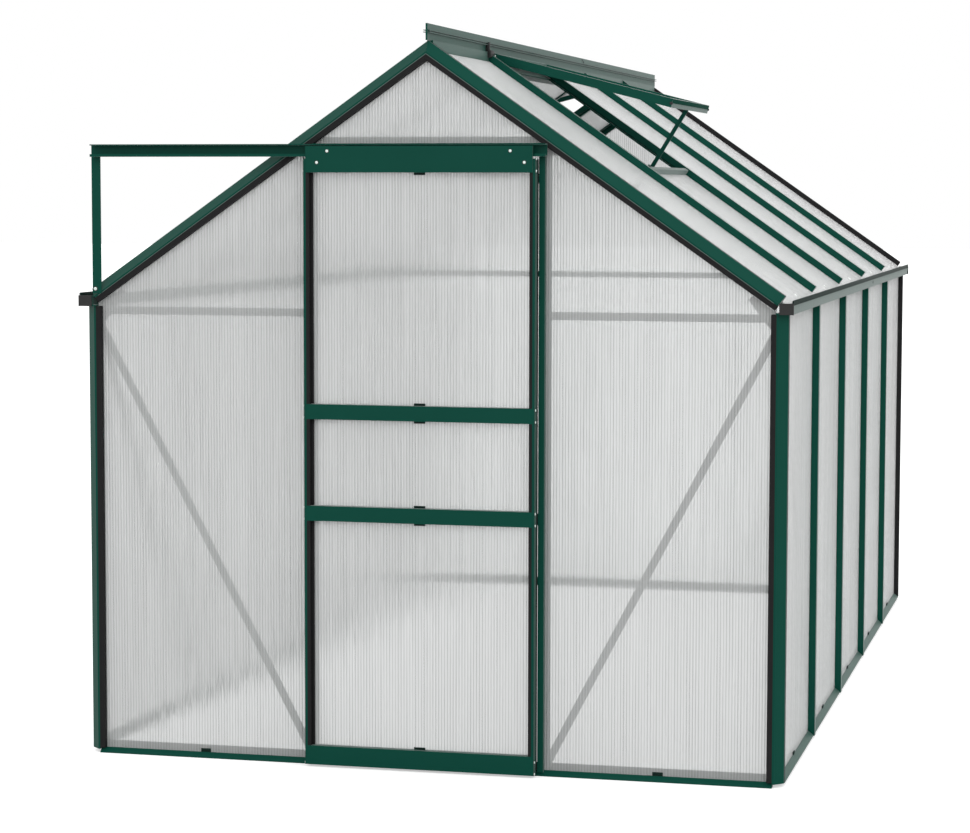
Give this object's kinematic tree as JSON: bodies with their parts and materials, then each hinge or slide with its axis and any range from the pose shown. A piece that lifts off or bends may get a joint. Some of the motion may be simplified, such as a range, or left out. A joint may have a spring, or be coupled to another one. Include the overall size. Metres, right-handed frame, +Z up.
{
  "type": "polycarbonate greenhouse",
  "caption": "Walk-in greenhouse with a gable roof: translucent twin-wall sheets in a green aluminium frame, a sliding door on an overhead track and open roof vents.",
  "frame": {"origin": "on the ground, at the middle of the house", "axes": "+X to the right of someone facing the door, +Y from the door to the back, +Z up"},
  "size_m": [1.932, 3.423, 1.967],
  "materials": {
    "frame": "dark green satin powder coat on extruded aluminium",
    "sheet": "translucent twin-wall polycarbonate with fine upright ribs",
    "strip": "black extruded glazing strip",
    "cap": "black moulded gutter cap",
    "roller": "pale nylon roller"
  },
  "bodies": {
    "house": {"front_sill": "frame", "back_sill": "frame", "left_sill": "frame", "right_sill": "frame", "front_posts": "frame", "back_posts": "frame", "front_rafters": "frame", "back_rafters": "frame", "ridge_bar": "frame", "left_gutter": "frame", "right_gutter": "frame", "gutter_end_caps": "cap", "left_wall_bars": "frame", "right_wall_bars": "frame", "left_roof_bars": "frame", "right_roof_bars": "frame", "left_wall_panels": "sheet", "right_wall_panels": "sheet", "left_roof_panels": "sheet", "right_roof_panels": "sheet", "front_gable_panels": "sheet", "back_gable_panels": "sheet", "door_jambs": "frame", "door_header": "frame", "back_gable_bars": "frame", "gable_tie_bars": "frame", "gable_braces": "frame", "side_braces": "frame", "gable_strips": "strip", "side_strips": "strip", "vent_sills": "frame", "left_vent_frame": "frame", "right_vent_frame": "frame", "left_vent_panel": "sheet", "right_vent_panel": "sheet", "vent_stays": "frame", "door_track": "frame", "track_support": "frame"},
    "door": {"door_stiles": "frame", "door_top_rail": "frame", "door_mid_rails": "frame", "door_bottom_rail": "frame", "door_panels": "sheet", "door_strips": "strip", "door_rollers": "roller"}
  },
  "joints": [
    {"name": "door_slide", "type": "slide", "parent": "house", "child": "door", "axis": [-1, 0, 0], "range_m": [0, 0.6]}
  ]
}
